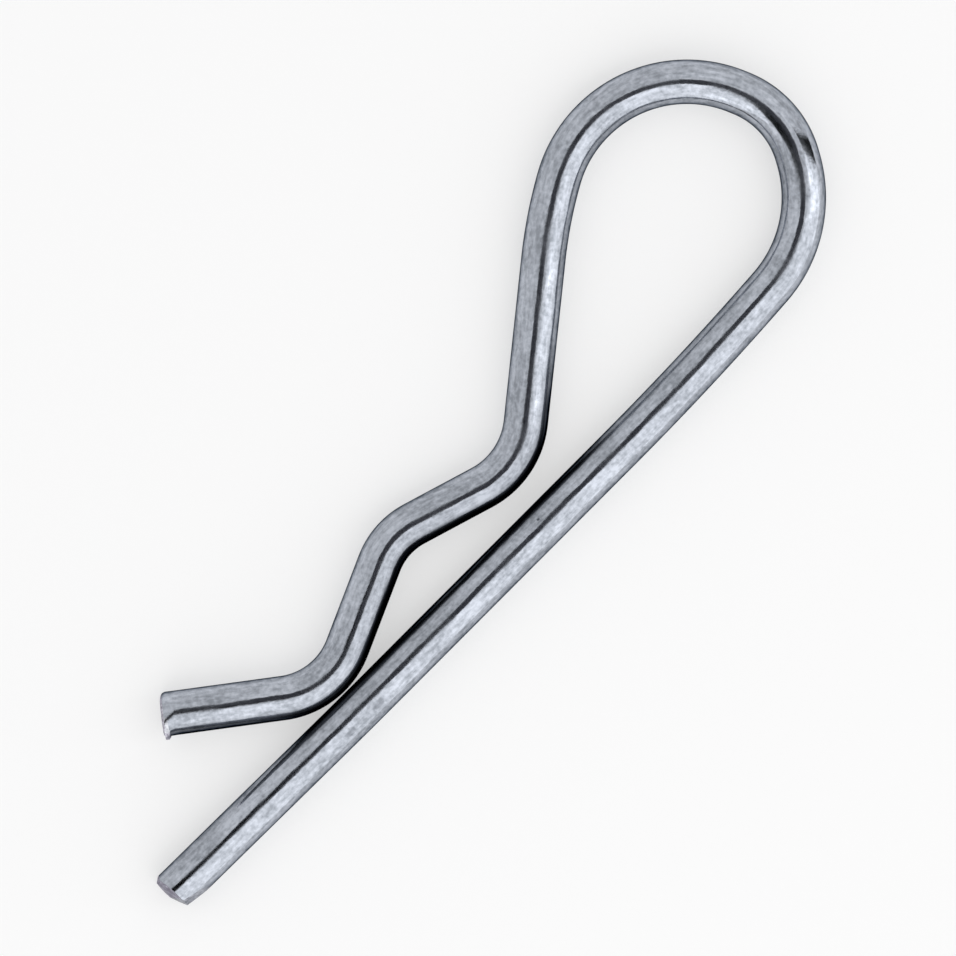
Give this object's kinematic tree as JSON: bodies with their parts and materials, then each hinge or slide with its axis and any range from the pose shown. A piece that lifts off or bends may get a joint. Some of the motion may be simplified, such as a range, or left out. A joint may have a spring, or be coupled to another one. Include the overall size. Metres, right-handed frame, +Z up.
{
  "type": "hitch pin r-clip",
  "caption": "R-clip of bent spring wire: a straight leg goes through a cross hole, and a crimped arm springs from a teardrop eye and grips the outside of the hitch pin.",
  "frame": {"origin": "centre of the straight leg's free end, on the wire's axis", "axes": "+X along the straight leg towards the eye, +Y from the leg towards the crimped arm, +Z up out of the plane that the wire is bent in"},
  "size_m": [0.1006, 0.0302, 0.0046],
  "materials": {
    "zinc_wire": "bright zinc-plated spring wire, lightly speckled, with drawn lines along it"
  },
  "bodies": {
    "root": {"r_clip": "zinc_wire"}
  },
  "joints": []
}
